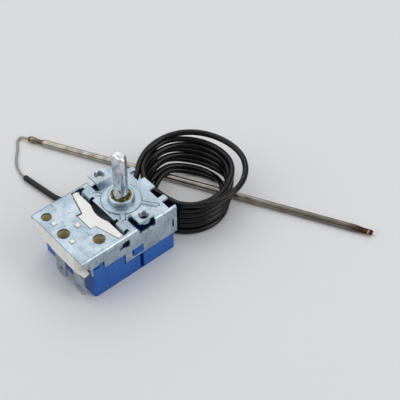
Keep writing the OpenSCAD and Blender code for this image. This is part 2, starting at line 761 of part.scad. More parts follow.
module terminal_block() {
    seat = plate_top - recess_depth - sheet;
    color("white") difference() {
        union() {
            translate([0, 0, block_low]) linear_extrude(block_h) block_plan();
            // web that guides the push rod under the lobe
            box([-slot_half - e, slot_front_y - e, block_low],
                [slot_half + e, lever_mid_y + 1.3, web_top]);
            // ledge that stands out below the cut corner
            translate([0, 0, block_low]) linear_extrude(1) polygon([
                [block_chamfer_x - 1, -front_reach], [block_chamfer_x, -front_reach],
                [half_w - 0.8, -front_reach + 0.9], [half_w - 1.2, band_front_y - 1.1],
                [block_half - 1, band_front_y - 1.1]
            ]);
            for (n = nibs) translate([n[0] - nib_side/2, n[1] - nib_side/2, block_top - e])
                cube([nib_side, nib_side, sheet + nib_rise]);
        }
        translate([block_left_x - 1, -front_reach - 1, block_low - e])
            cube([block_step_x - block_left_x + 1, 3, block_step + e]);
        for (h = [[recess_a, recess_small_r], [recess_b, recess_large_r], [recess_c, recess_large_r]])
            translate([h[0][0], h[0][1], seat]) cylinder(h = 20, r = h[1]);
        for (c = [recess_b, recess_c]) translate([c[0], c[1], block_low - 1])
            cylinder(h = 20, r = rivet_r);
        translate([0, pushrod_y, block_low - 1]) cylinder(h = 20, r = pushrod_r + 0.05);
    }
}

// Plan of the housing, with round corners
module housing_plan(inset) {
    x = housing_half - inset;
    y0 = housing_front_y + inset;
    y1 = housing_rear_y - inset;
    r = max(0.3, corner_r - inset/2);
    translate([-x + r, y0]) square([2*(x - r), y1 - y0]);
    translate([-x, y0 + r]) square([2*x, y1 - y0 - 2*r]);
    for (px = [-x + r, x - r]) for (py = [y0 + r, y1 - r]) translate([px, py]) circle(r);
}

module housing() {
    color([0.04, 0.32, 0.72]) difference() {
        union() {
            difference() {
                translate([0, 0, floor_z]) linear_extrude(housing_top - floor_z) housing_plan(0);
                translate([0, 0, housing_floor]) linear_extrude(50)
                    housing_plan(wall + half_w - housing_half);
                // rebate that takes the side bands
                both_sides() intersection() {
                    box([inner_half, -60, -60], [60, 60, 60]);
                    difference() {
                        box([inner_half, -60, floor_z - 1], [60, 60, 60]);
                        along_x(0, 60) band_clearance(band_gap);
                    }
                }
                // front wall under the block, and the block's own space
                box([-block_half - 0.1, -60, block_low], [block_half + 0.1, block_rear_y + 0.2, 0]);
                // notches for the terminals
                box([contact_foot_out - band_gap, -60, leg_low - 0.1],
                    [blade_1_x + blade_w/2 + band_gap, housing_front_y + wall + 1, 0]);
                box([recess_b[0] - rivet_head_r, -60, leg_low - rivet_head_h - 0.2],
                    [recess_b[0] + rivet_head_r, recess_y + rivet_head_r + 0.2, 0]);
                box([hook_x - 0.3, -60, leg_low - 0.1],
                    [block_half + 0.1, housing_front_y + wall + 1, 0]);
            }
            // nibs that stand up into the bands' notches
            both_sides() box([inner_half - wall, notch_y[0] + 0.3, housing_top - 1],
                [housing_half, notch_y[1] - 0.5, band_front_z + 0.2]);
            // taller rear wall, between the side bands and up to the capsule
            box([-inner_half + 0.3, housing_rear_y - wall, housing_top - 1],
                [inner_half - 0.3, housing_rear_y, rear_wall_z]);
            // snap lugs through the band windows
            both_sides() along_y(lug_window_y[0] + 0.6, lug_window_y[1] - 0.1) polygon([
                [inner_half - e, lug_window_z[0] + 0.2], [half_w + lug_out, lug_window_z[0] + 0.2],
                [half_w + lug_out, lug_window_z[0] + 0.9], [inner_half + 0.4, lug_window_z[1] - 0.2],
                [inner_half - e, lug_window_z[1] - 0.2]
            ]);
            // seat for the lever's spring
            translate([0, spring_y, housing_floor - e]) cylinder(h = 1.6, r = spring_r - 0.6);
        }
        // slits in the side walls
        both_sides() box([housing_half - wall - 0.6, slit_y - slit_w/2, floor_z + 0.4],
            [60, slit_y + slit_w/2, band_rear_z - band_gap - 0.2]);
        // sunk panel in the floor
        translate([0, 0, floor_z - e]) linear_extrude(0.4) housing_plan(3.5);
        translate([exit_point[0], 0, exit_point[2]]) rotate([-90, 0, 0]) cylinder(h = 60, r = grommet_r);
    }
}

// Ring seated in the rear wall, round the sleeve
module grommet() {
    color([0.10, 0.10, 0.11]) translate([exit_point[0], housing_rear_y - wall, exit_point[2]])
        rotate([-90, 0, 0]) difference() {
            union() {
                cylinder(h = wall, r = grommet_r);
                translate([0, 0, wall - e]) cylinder(h = 0.6, r = grommet_r + 0.6);
            }
            translate([0, 0, -1]) cylinder(h = wall + 3, r = sleeve_d/2);
        }
}

module sleeve_lead() {
    color([0.07, 0.07, 0.08]) swept_tube(lead_route, sleeve_d/2, 8);
}

// Outer form of the stacked turns, which lean to the rear and lie over the bulb
module sleeve_coil() {
    step_h = coil_h/coil_steps;
    color([0.07, 0.07, 0.08]) difference() {
        for (i = [0 : coil_steps - 1]) {
            share = i/(coil_steps - 1);
            centre = coil_low + share*(coil_high - coil_low);
            radius = coil_r - coil_narrow*(1 - share);
            translate([centre[0], centre[1], floor_z + i*step_h])
                rotate_extrude($fn = 96) translate([radius - sleeve_d/2, 0])
                    square([sleeve_d, step_h + e]);
        }
        bulb_frame() cylinder(h = bulb_tube_len + ferrule_len + neck_len, r = bulb_d/2);
    }
}

module sleeve_tail() {
    color([0.07, 0.07, 0.08]) swept_tube(tail_route, sleeve_d/2, 8);
}

module capillary() {
    color("silver") swept_tube(capillary_route, capillary_d/2, 8);
}

// The bulb's axis lies along +X of this frame, from the joint's outer end
module bulb_frame() {
    translate([bulb_start[0], bulb_start[1], floor_z + bulb_d/2])
        rotate(bulb_angle) rotate([0, 90, 0]) children();
}

module bulb_ferrule() {
    r = bulb_d/2;
    color("tan") bulb_frame() {
        cylinder(h = 0.8, r1 = r*0.7, r2 = r);
        translate([0, 0, 0.8 - e]) cylinder(h = ferrule_len - 1.3, r = r);
        translate([0, 0, ferrule_len - 0.5 - 2*e]) cylinder(h = 0.5 + 2*e, r1 = r, r2 = bulb_neck_r);
    }
}

module sensor_bulb() {
    r = bulb_d/2;
    tube_start = ferrule_len + neck_len;
    tube_end = tube_start + bulb_tube_len;
    color("silver") bulb_frame() {
        translate([0, 0, ferrule_len]) cylinder(h = neck_len - 1, r = bulb_neck_r);
        translate([0, 0, tube_start - 1 - e]) cylinder(h = 1 + e, r1 = bulb_neck_r, r2 = r);
        translate([0, 0, tube_start - e]) cylinder(h = bulb_tube_len, r = r);
        difference() {
            translate([0, 0, tube_end - 2*e]) cylinder(h = tip_len, r = r);
            // two flats pressed into the end, which is left round at its very tip
            for (s = [-1, 1]) translate([s*(bulb_flat/2 + 1.5), 0, tube_end + tip_len*0.45])
                rotate([0, s*9, 0]) cube([3, 2*bulb_d, tip_len*0.62], center = true);
        }
    }
}

frame_plate();
bush();
spindle();
capsule();
thrust_button();
capsule_lead();
lever();
lever_spring();
pushrod();
snap_spring();
moving_contact();
fixed_contact();
terminal_1();
terminal_2();
terminal_rivets();
terminal_block();
housing();
grommet();
sleeve_lead();
sleeve_coil();
sleeve_tail();
capillary();
bulb_ferrule();
sensor_bulb();
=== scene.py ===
# %% [markdown]
# # An oven thermostat, from frame to sensor bulb
# A capillary thermostat holds an oven at the temperature set on its spindle. Liquid in the thin bulb swells,
# pushes through a capillary into a flat capsule, and the capsule tips a ceramic rocker that works a switch.
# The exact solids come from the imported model. This script gives them their finishes, rounds their edges, and
# makes what wants a freer hand: the wound sleeve, the capillary, the bulb with its crimped end, and the threads.

import json
import math

import bmesh
import bpy
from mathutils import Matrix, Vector


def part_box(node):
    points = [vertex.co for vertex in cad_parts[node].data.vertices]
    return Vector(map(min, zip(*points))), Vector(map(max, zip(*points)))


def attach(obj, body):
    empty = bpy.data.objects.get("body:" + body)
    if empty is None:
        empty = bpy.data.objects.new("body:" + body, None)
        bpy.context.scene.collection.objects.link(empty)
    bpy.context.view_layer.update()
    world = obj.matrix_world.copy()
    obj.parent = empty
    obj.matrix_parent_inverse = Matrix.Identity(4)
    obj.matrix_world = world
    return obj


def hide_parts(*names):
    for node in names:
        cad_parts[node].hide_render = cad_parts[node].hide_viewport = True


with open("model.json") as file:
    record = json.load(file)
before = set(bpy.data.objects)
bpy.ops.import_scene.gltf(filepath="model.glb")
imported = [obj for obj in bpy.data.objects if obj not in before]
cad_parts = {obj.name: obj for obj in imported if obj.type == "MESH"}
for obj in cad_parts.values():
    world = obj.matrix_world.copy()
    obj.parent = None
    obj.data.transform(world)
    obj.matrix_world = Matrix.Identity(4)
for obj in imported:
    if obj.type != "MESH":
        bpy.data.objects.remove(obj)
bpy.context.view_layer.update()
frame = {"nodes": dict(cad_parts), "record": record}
MM = 0.001
nodes = frame["nodes"]

# %% [markdown]
# ## Camera
# The object was photographed from above its right front corner, from about half a metre away with a long lens.
# The camera stands where the mounting holes, the spindle and the frame's edges fall in their places in the view.

# %% Camera
camera_data = bpy.data.cameras.new("camera")
camera_data.sensor_width = 36
camera_data.lens = 108
camera_data.clip_start = 0.01
camera = bpy.data.objects.new("camera", camera_data)
bpy.context.scene.collection.objects.link(camera)
camera.location = (0.2588, -0.18125, 0.3466)
camera.rotation_euler = (math.radians(41.932), 0, math.radians(49.4))
bpy.context.scene.camera = camera
print("camera to spindle, m:", round(camera.location.length, 3))

# %% [markdown]
# ## Helpers for places
# Lengths on the part are written in millimetres, and the factor MM turns them into metres. The camera, the lights
# and the floor's width are in metres already. An operator works on whatever is selected, so each step starts by
# letting go of everything.

# %% Helpers for places
FLOOR = -27.0    # height of the floor that the part lies on


def metres(point):
    return tuple(c * MM for c in point)


def let_go():
    if bpy.context.object and bpy.context.object.mode != "OBJECT":
        bpy.ops.object.mode_set(mode="OBJECT")
    for other in list(bpy.context.selected_objects):
        other.select_set(False)


def take(obj):
    let_go()
    obj.select_set(True)
    bpy.context.view_layer.objects.active = obj
    return obj


def settle(obj):
    """Puts the object's place into its mesh, so that it sits at the origin."""
    take(obj)
    bpy.ops.object.transform_apply(location=True, rotation=True, scale=True)
    return obj


# %% [markdown]
# ## The sleeved capillary
# The capillary leaves the back of the housing in a black sleeve. It makes one wide, loose loop, then lies wound
# in a stack of turns, and runs out to the left behind the housing. The whole sleeve is one curve: listed points
# for the loose stretches and a helix for the turns. The stack leans to the rear and lies over the bulb, so
# the turns rise where they cross it. Separate rings would be easier to place, but they have no ends, and the
# cord would lose its length; one curve keeps both true.

# %% The route of the sleeve
SLEEVE_D = 2.5
SLEEVE_LOW = FLOOR + SLEEVE_D / 2 + 0.05    # centre line of a turn that lies just clear of the floor
BULB_R = 1.5
TURNS = 7
TURN_STEPS = 24
TURN_PITCH = 2.35
COIL_START = -100                # direction in which the first turn starts, in degrees
COIL_LOW = (1.5, 32.2, 17.2)     # x, y and radius of the lowest turn
COIL_HIGH = (-2.0, 35.2, 18.2)   # the same of the highest turn
BULB_CROSSINGS = (172, 61)       # directions in which the turns cross the bulb, in degrees
CROSSING_WIDTH = 17
TURN_SETTLES = 0.42              # each turn above the bulb lies this much closer to the one below
TURN_SPREADS = 0.7               # and this far in or out beside it
SIDE_CHANGES = 0.25              # how much of a turn before its start it changes between in and out
INNER_TURN = 2.6                 # how far inside the stack the last turn runs
INNER_MIDDLE = TURNS - 1.05      # where it is furthest inside, counted in turns
INNER_REACH = 0.95               # and how many turns it takes to get there and back

# %% Where the sleeve lies loose
lead_points = [
    (-11.5, 11.8, -13), (-11.5, 14.2, -12.9), (-12.6, 17.2, -12.2), (-15.6, 20.2, -11.6),
    (-18.4, 24.2, -11), (-20.4, 29, -10.4), (-21, 34.4, -9.8), (-20.1, 40.4, -9.2),
    (-17, 46.4, -8.7), (-12, 51.4, -8.5), (-5.6, 54.8, -8.5), (1.4, 56.6, -8.8),
    (8.2, 56.4, -9.4), (14, 53.6, -10.2), (18, 48.8, -11), (20.2, 42.4, -11.4),
    (20, 35.4, -11.6), (18, 28.6, -11.4), (14.4, 22.8, -11.2), (9.2, 18.8, -11.4),
]
tail_points = [
    (-2, 15.4, -25.7), (-9, 15.4, -25.7), (-15.6, 15.6, -25.7), (-21.2, 13.4, -25.7),
    (-24.8, 8.8, -25.7), (-26.4, 3, -25.7), (-27.8, -2.6, -25.7), (-30.6, -6.6, -25.7),
    (-34.8, -8.6, -25.7), (-40, -9.5, -25.7), (-46, -10.5, -25.7), (-53.1, -11.6, -25.7),
]
print("loose points:", len(lead_points), "before the turns,", len(tail_points), "after them")


# %% How the turns are wound
def hump(angle, middle, width):
    """1 where the angle is at middle, falling smoothly to 0 a few widths away; all in degrees."""
    off = (angle - middle + 180) % 360 - 180
    return math.exp(-0.5 * (off / width) ** 2)


def on_coil(turned):
    """A point of the wound sleeve after this many turns, counted from the top of the stack."""
    angle = COIL_START - 360 * turned
    share = turned / TURNS
    x, y, radius = (high + (low - high) * share for low, high in zip(COIL_LOW, COIL_HIGH))
    height = TURN_PITCH * max(0.0, TURNS - 1 - turned)
    # where the turns cross the bulb they ride over it, one spread a little against the next
    crossing = sum(hump(angle, middle, CROSSING_WIDTH) for middle in BULB_CROSSINGS)
    height += crossing * (2 * BULB_R - TURN_SETTLES * max(0.0, TURNS - 1 - turned))
    radius += crossing * TURN_SPREADS * math.cos(math.pi * math.floor(turned + SIDE_CHANGES))
    # the last turn runs inside the stack and comes out below it
    inner = max(0.0, 1 - abs(turned - INNER_MIDDLE) / INNER_REACH)
    radius -= INNER_TURN * inner * inner * (3 - 2 * inner)
    a = math.radians(angle)
    return (x + radius * math.cos(a), y + radius * math.sin(a), SLEEVE_LOW + height)


turn_points = [on_coil(i / TURN_STEPS) for i in range(TURNS * TURN_STEPS)]
sleeve_route = [metres(p) for p in lead_points + turn_points + tail_points]
print("sleeve points:", len(sleeve_route))


# %% A tube along a route
def tube_along(name, route, diameter):
    """A tube of ten sides on a smooth curve near the route's points, made a mesh with closed ends."""
    data = bpy.data.curves.new(name, "CURVE")
    data.dimensions = "3D"
    data.bevel_depth = diameter * MM / 2
    data.bevel_resolution = 3
    data.use_fill_caps = True
    spline = data.splines.new("NURBS")
    spline.points.add(len(route) - 1)
    for point, place in zip(spline.points, route):
        point.co = (*place, 1)
    spline.order_u = 3
    spline.resolution_u = 4
    spline.use_endpoint_u = True
    obj = bpy.data.objects.new(name, data)
    bpy.context.scene.collection.objects.link(obj)
    take(obj)
    bpy.ops.object.convert(target="MESH")
    tube = bpy.context.object
    bpy.ops.object.mode_set(mode="EDIT")
    bpy.ops.mesh.select_all(action="SELECT")
    bpy.ops.mesh.remove_doubles(threshold=0.001 * MM)
    bpy.ops.object.mode_set(mode="OBJECT")
    bpy.ops.object.shade_smooth_by_angle(angle=math.radians(50))
    print(name, "faces:", len(tube.data.polygons))
    return tube


# %% The sleeve
sleeve = tube_along("sleeve", sleeve_route, SLEEVE_D)
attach(sleeve, "body")
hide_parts("sleeve_lead", "sleeve_coil", "sleeve_tail")

# %% [markdown]
# ## Sensor bulb and its brazed joint
# The bulb is a thin steel tube. One end is drawn down to a neck that a short ferrule joins to the capillary, with
# braze run round it. The other end is squeezed flat, left with a thicker lip and welded shut. A profile spun
# round the axis would do for the neck, but it can't go flat. So a ring is extruded along the axis, and its width
# and height are changed at each station, as a swaging tool changes the tube.

# %% Stations of the bulb and of its joint
BULB_ANGLE = math.radians(29)
BULB_START = (-71.3, 2.7)
BULB_LENGTH = 155.2

# each station is a distance along the axis, half the width and half the height, in millimetres
joint_stations = [
    (0, 0.62, 0.62), (0.1, 0.78, 0.78), (0.5, 1.08, 1.08), (1.1, 1.3, 1.3), (1.8, 1.42, 1.42), (2.6, 1.44, 1.44),
    (3.3, 1.34, 1.34), (3.9, 1.18, 1.18), (4.4, 1.03, 1.03), (4.7, 0.97, 0.97),
]
bulb_stations = [
    (4.5, 0.9, 0.9), (4.9, 0.93, 0.93), (5.3, 1.02, 1.02), (5.7, 0.94, 0.94), (6.3, 0.95, 0.95),
    (6.7, 1.06, 1.06), (7.3, 1.37, 1.37), (7.8, 1.48, 1.48), (8.4, 1.5, 1.5), (147.6, 1.5, 1.5),
    (148.6, 1.48, 1.36), (149.8, 1.44, 0.95), (150.7, 1.4, 0.7), (151.5, 1.38, 0.6), (152.7, 1.36, 0.58),
    (153.0, 1.34, 0.7), (153.3, 1.3, 0.92), (153.7, 1.26, 1.0), (154.3, 1.24, 0.98), (154.8, 1.16, 0.86),
    (155.05, 1.0, 0.7), (155.15, 0.78, 0.5), (155.0, 0.42, 0.2),
]
print("stations:", len(joint_stations), "on the joint,", len(bulb_stations), "on the bulb")


# %% A tube pulled through stations
def swaged_tube(name, stations, sides=36):
    """Pulls a ring along X through the stations, then lays the tube on the bulb's axis."""
    place, wide, high = stations[0]
    let_go()
    bpy.ops.mesh.primitive_circle_add(vertices=sides, radius=MM, fill_type="NGON",
                                      rotation=(0, math.radians(90), 0))
    tube = settle(bpy.context.object)
    tube.name = name
    bpy.ops.object.mode_set(mode="EDIT")
    bpy.ops.mesh.select_all(action="SELECT")
    bpy.ops.transform.resize(value=(1, wide, high), center_override=(0, 0, 0))
    bpy.ops.transform.translate(value=(place * MM, 0, 0))
    for (last_place, last_wide, last_high), (place, wide, high) in zip(stations, stations[1:]):
        step = (place - last_place) * MM
        bpy.ops.mesh.extrude_region_move(TRANSFORM_OT_translate={"value": (step, 0, 0)})
        bpy.ops.transform.resize(value=(1, wide / last_wide, high / last_high),
                                 center_override=(place * MM, 0, 0))
    bpy.ops.mesh.select_all(action="SELECT")
    bpy.ops.mesh.normals_make_consistent(inside=False)
    bpy.ops.object.mode_set(mode="OBJECT")
    tube.location = metres((*BULB_START, FLOOR + BULB_R))
    tube.rotation_euler = (0, 0, BULB_ANGLE)
    settle(tube)
    bpy.ops.object.shade_smooth_by_angle(angle=math.radians(50))
    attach(tube, "body")
    print(name, "faces:", len(tube.data.polygons))
    return tube


# %% Sensor bulb and its brazed joint
bulb = swaged_tube("crimped_bulb", bulb_stations)
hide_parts("sensor_bulb")
joint = swaged_tube("brazed_joint", joint_stations)
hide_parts("bulb_ferrule")

# %% [markdown]
# ## The bare capillary
# Between the sleeve and the joint the thin steel tube is bare. It springs up a little as it turns back towards
# the bulb. It is too stiff to hang, so a few points and a smooth curve give its bend, as for the sleeve.

# %% The bare capillary
CAPILLARY_D = 1.0

capillary_route = [metres(p) for p in [
    (-53.1, -11.6, -25.8), (-55.8, -11.7, -26.4), (-59.6, -10.9, -26.4),
    (-63.2, -9.3, -26.4), (-66.5, -6.8, -26.4), (-69.5, -4.2, -26.4),
    (-72.2, -2.4, -26.4), (-73.8, -1.3, -26.4), (-74.5, -0.2, -26.4),
    (-74.5, 0.8, -26.1), (-73.7, 1.5, -25.7), (-71.3, 2.7, -25.5),
]]
capillary = tube_along("bare_capillary", capillary_route, CAPILLARY_D)
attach(capillary, "body")
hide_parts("capillary")

# %% [markdown]
# ## Threads in the ears
# Each ear has a collar punched through it and tapped for a screw. A tap leaves a helical ridge of bright metal.
# Cutting a groove into the plate would take a boolean on its finest faces. Instead a small ring, half sunk in the
# hole's wall, is wound down the hole by a Screw modifier, and the finished thread is copied into the other ear.

# %% Threads in the ears
THREAD_PITCH = 0.7
THREAD_TURNS = 3
RIDGE_R = 0.21
HOLE_R = 1.68
EAR_X = 14.0
THREAD_TOP = -0.75    # height at which the ridge starts

let_go()
bpy.ops.mesh.primitive_circle_add(vertices=8, radius=RIDGE_R * MM, location=(HOLE_R * MM, 0, 0),
                                  rotation=(math.radians(90), 0, 0))
thread = settle(bpy.context.object)
thread.name = "ear_thread_right"
thread.location = metres((EAR_X, 0, THREAD_TOP))
winding = thread.modifiers.new("winding", "SCREW")
winding.axis = "Z"
winding.angle = 2 * math.pi
winding.iterations = THREAD_TURNS
winding.screw_offset = -THREAD_PITCH * MM
winding.steps = winding.render_steps = 20
bpy.ops.object.modifier_apply(modifier="winding")
bpy.ops.object.mode_set(mode="EDIT")
bpy.ops.mesh.select_all(action="SELECT")
bpy.ops.mesh.remove_doubles(threshold=0.001 * MM)
bpy.ops.mesh.fill_holes(sides=12)
bpy.ops.mesh.select_all(action="SELECT")
bpy.ops.mesh.normals_make_consistent(inside=False)
bpy.ops.object.mode_set(mode="OBJECT")
settle(thread)
bpy.ops.object.shade_smooth()

# %% The thread in the other ear
bpy.ops.object.duplicate()
other_thread = bpy.context.object
other_thread.name = "ear_thread_left"
other_thread.location.x = -2 * EAR_X * MM
settle(other_thread)
for piece in (thread, other_thread):
    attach(piece, "body")
print("thread faces:", len(thread.data.polygons))

# %% [markdown]
# ## Rounded edges
# A pressed, moulded or fired part has no knife edges, and its rounded edges are what catches the light. A solid
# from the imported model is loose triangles, so a copy is merged, its flat faces are joined, and a small bevel goes
# on every outward edge that turns by more than a set angle. A bevel limited by angle alone would run into itself
# at short edges, so each edge has a weight of its own. The copy then stands for the solid.

# %% Which edges are rounded, and how far
SHARP_TURN = math.radians(28)    # an outward edge that turns by more than this is rounded
FLAT_TURN = math.radians(1)      # a seam that turns by less than this lies in a flat face
ALONGSIDE = 0.3                  # sine of the angle within which a seam runs along the edge
GOES_ON = 0.85                   # cosine of the angle within which a sharp edge is the same edge going on
ROOM_TAKEN = 0.45                # share of a neighbouring edge that a bevel may take up


def weigh_edges(mesh, width):
    """Gives each sharp outward edge a bevel weight from 0 to 1, less where its neighbours leave little room."""
    work = bmesh.new()
    work.from_mesh(mesh)
    weight = work.edges.layers.float.new("bevel_weight_edge")
    sharp = {e for e in work.edges if e.is_convex and e.calc_face_angle(0) > SHARP_TURN}
    for edge in sharp:
        room = width * MM
        for corner in edge.verts:
            ahead = (corner.co - edge.other_vert(corner).co).normalized()
            for other in corner.link_edges:
                onward = (other.other_vert(corner).co - corner.co).normalized()
                seam = other.calc_face_angle(0) < FLAT_TURN and onward.cross(ahead).length < ALONGSIDE
                same = other is edge or (other in sharp and onward.dot(ahead) > GOES_ON)
                if not seam and not same:
                    room = min(room, ROOM_TAKEN * other.calc_length())
        edge[weight] = room / (width * MM)
    work.to_mesh(mesh)
    work.free()
    return len(sharp)


# %% A rounded copy of a solid
node_body = {n: body for body, members in frame["record"]["behaviour"]["bodies"].items() for n in members}


def rounded_copy(node, width):
    """Copies a solid, bevels its sharp outward edges by a width in millimetres, and lets the copy replace it."""
    source = nodes[node]
    copy = source.copy()
    copy.data = source.data.copy()
    copy.name = node + "_rounded"
    copy.parent = None
    for key in list(copy.keys()):
        del copy[key]
    bpy.context.scene.collection.objects.link(copy)
    take(copy)
    bpy.ops.mesh.customdata_custom_splitnormals_clear()
    bpy.ops.object.mode_set(mode="EDIT")
    bpy.ops.mesh.select_all(action="SELECT")
    bpy.ops.mesh.remove_doubles(threshold=0.002 * MM)
    bpy.ops.mesh.dissolve_limited(angle_limit=math.radians(0.6))
    bpy.ops.mesh.select_all(action="SELECT")
    bpy.ops.mesh.vert_connect_concave()
    bpy.ops.object.mode_set(mode="OBJECT")
    sharp = weigh_edges(copy.data, width)
    bevel = copy.modifiers.new("edges", "BEVEL")
    bevel.width = width * MM
    bevel.segments = 2
    bevel.limit_method = "WEIGHT"
    bevel.use_clamp_overlap = False
    bevel.loop_slide = False
    bpy.ops.object.modifier_apply(modifier="edges")
    bpy.ops.object.shade_smooth_by_angle(angle=math.radians(38))
    # flat faces keep their own normal, so that only the bevels shade round
    level = copy.modifiers.new("flats", "WEIGHTED_NORMAL")
    level.keep_sharp = True
    bpy.ops.object.modifier_apply(modifier="flats")
    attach(copy, node_body[node])
    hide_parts(node)
    print(copy.name, "sharp edges:", sharp, "faces:", len(copy.data.polygons))
    return copy


# %% [markdown]
# ## Materials
# Every finish is a small network of nodes. It reads the object's own coordinates, in metres, so a noise whose
# scale is 1 divided by a size has spots of about that size, and no picture has to be wrapped round the piece.
# One function adds any kind of node: it sets the inputs that are values, links those that are sockets, and gives
# back one output for the next node. A Map Range node turns part of a noise into a share from 0 to 1. Its sockets
# are numbered: 0 is the value, 1 and 2 are the ends of the part, and 3 and 4 are what those ends become. A Mix
# node lays one colour over another by that share. It takes colours at sockets 6 and 7 and gives one at output 2.

# %% Helpers for materials
COLOURS = {"out": 2, "data_type": "RGBA"}


def linear(code):
    """An sRGB hex colour as the linear numbers that a shader works with."""
    parts = [int(code[i:i + 2], 16) / 255 for i in (1, 3, 5)]
    return (*(p / 12.92 if p <= 0.04045 else ((p + 0.055) / 1.055) ** 2.4 for p in parts), 1.0)


def add(tree, kind, inputs=None, out=0, **settings):
    """Adds a node, sets its properties, sets or links its inputs, and gives back one of its outputs."""
    node = tree.nodes.new("ShaderNode" + kind)
    for key, value in settings.items():
        setattr(node, key, value)
    for key, value in (inputs or {}).items():
        if isinstance(value, bpy.types.NodeSocket):
            tree.links.new(value, node.inputs[key])
        else:
            node.inputs[key].default_value = value
    return node.outputs[out]


def spots(tree, size, detail=3.0, stretch=(1, 1, 1), turn=(0, 0, 0), rough=0.5):
    """Noise with spots of a size in millimetres, drawn out along an axis where stretch is small."""
    place = add(tree, "TexCoord", out="Object")
    turned = [math.radians(t) for t in turn]
    mapped = add(tree, "Mapping", {"Vector": place, "Scale": stretch, "Rotation": turned})
    return add(tree, "TexNoise", {"Vector": mapped, "Scale": 1 / (size * MM), "Detail": detail,
                                  "Roughness": rough}, out="Fac")


def clouds(first, second, size, detail, low, high, stretch=(1, 1, 1)):
    """Draws two colours in soft clouds of a size in millimetres."""
    def draw(tree):
        share = add(tree, "MapRange", {0: spots(tree, size, detail, stretch), 1: low, 2: high})
        return add(tree, "Mix", {0: share, 6: linear(first), 7: linear(second)}, **COLOURS)
    return draw


def uneven_sheen(smooth, dull, size, detail, low, high, stretch=(1, 1, 1), turn=(0, 0, 0)):
    """Draws a roughness that wanders between two values over a size in millimetres."""
    def draw(tree):
        noise = spots(tree, size, detail, stretch, turn)
        return add(tree, "MapRange", {0: noise, 1: low, 2: high, 3: smooth, 4: dull})
    return draw


def finish_of(name, colour, metallic, roughness, relief=None, depth=0.0, **sockets):
    """A named material. Its colour and roughness are each a value, or a function that draws nodes in its tree."""
    material = bpy.data.materials.new(name)
    material.use_nodes = True
    tree = material.node_tree
    shader = tree.nodes["Principled BSDF"]
    for key, value in {"Base Color": colour, "Roughness": roughness}.items():
        if callable(value):
            tree.links.new(value(tree), shader.inputs[key])
        else:
            shader.inputs[key].default_value = value
    shader.inputs["Metallic"].default_value = metallic
    if relief:
        raised = add(tree, "Bump", {"Height": relief(tree), "Strength": 1.0, "Distance": depth * MM})
        tree.links.new(raised, shader.inputs["Normal"])
    for key, value in sockets.items():
        shader.inputs[key.replace("_", " ")].default_value = value
    print("finish:", name, "nodes:", len(tree.nodes))
    return material


# %% [markdown]
# **Bright zinc plate.** The frame is cold-rolled steel, pressed and then zinc plated in a barrel, where the parts
# tumble against each other. That gives a cool silver with cloudy spangle, dull smudges and short scratches. One
# flat grey would look like paint, so three kinds of marks lie over the clouds, and the scratches are relief.
# Real scratches are a few hundredths of a millimetre wide; they are drawn ten times as wide, so that they show.

# %% Zinc plate
SCRATCH_WAY = (0, 0, 24)
CROSS_SCRATCH_WAY = (0, 0, -33)


def zinc_colour(tree):
    colour = clouds("#9FB0BD", "#C1CED8", 7, 5, 0.35, 0.65)(tree)
    specks = add(tree, "MapRange", {0: spots(tree, 0.9, 4), 1: 0.55, 2: 0.72, 4: 0.55})
    smudges = add(tree, "MapRange", {0: spots(tree, 2.4, 7, rough=0.7), 1: 0.57, 2: 0.66, 4: 0.45})
    # small dark marks in loose groups, where parts struck each other in the barrel
    marks = add(tree, "MapRange", {0: spots(tree, 0.45, 2), 1: 0.64, 2: 0.70})
    groups = add(tree, "MapRange", {0: spots(tree, 6, 2), 1: 0.5, 2: 0.62, 4: 0.5})
    struck = add(tree, "Math", {0: marks, 1: groups}, operation="MULTIPLY")
    for share, code in ((specks, "#7E8B97"), (smudges, "#5B6875"), (struck, "#4A5560")):
        colour = add(tree, "Mix", {0: share, 6: colour, 7: linear(code)}, **COLOURS)
    return colour


def zinc_scratches(tree):
    along = add(tree, "MapRange", {0: spots(tree, 0.35, 2, (0.05, 1, 1), SCRATCH_WAY), 1: 0.63, 2: 0.72})
    across = add(tree, "MapRange", {0: spots(tree, 0.3, 2, (1, 0.08, 1), CROSS_SCRATCH_WAY), 1: 0.66, 2: 0.74})
    crossed = add(tree, "Math", {0: along, 1: across}, operation="ADD")
    return add(tree, "Math", {0: spots(tree, 0.22, 3), 1: 0.35, 2: crossed}, operation="MULTIPLY_ADD")


def zinc_roughness(tree):
    dull = uneven_sheen(0.22, 0.42, 3.2, 5, 0.35, 0.7)(tree)
    worn = uneven_sheen(0.0, 0.1, 0.35, 2, 0.60, 0.70, (0.05, 1, 1), SCRATCH_WAY)(tree)
    return add(tree, "Math", {0: dull, 1: worn}, operation="ADD")


zinc = finish_of("bright_zinc_plate_tumbled", zinc_colour, 1.0, zinc_roughness, zinc_scratches, 0.005)

# %% [markdown]
# ** Steatite ceramic.** The block, the rocker and the push rod are pressed from steatite powder and fired: warm
# white, dense, with a dull sheen and a few faint specks. Down inside its recesses the block is painted darker and a
# little yellow, as painted shade, so its colour changes with the depth under the top face, but only close round the
# axis of each recess.

# %% Steatite
def steatite_colour(warm, light):
    def draw(tree):
        fired = clouds(light, warm, 5, 4, 0.35, 0.7)(tree)
        specks = add(tree, "MapRange", {0: spots(tree, 0.5, 1), 1: 0.76, 2: 0.82, 4: 0.2})
        return add(tree, "Mix", {0: specks, 6: fired, 7: linear("#A39B8C")}, **COLOURS)
    return draw


def steatite_grain(tree):
    return add(tree, "Math", {0: spots(tree, 1.6, 2), 1: 1.5, 2: spots(tree, 0.25, 3)}, operation="MULTIPLY_ADD")


steatite = finish_of("steatite_fired", steatite_colour("#F4F1EA", "#FCFBF8"), 0.0, 0.42, steatite_grain, 0.012,
                     Subsurface_Weight=0.06, Subsurface_Scale=0.0008, IOR=1.55)
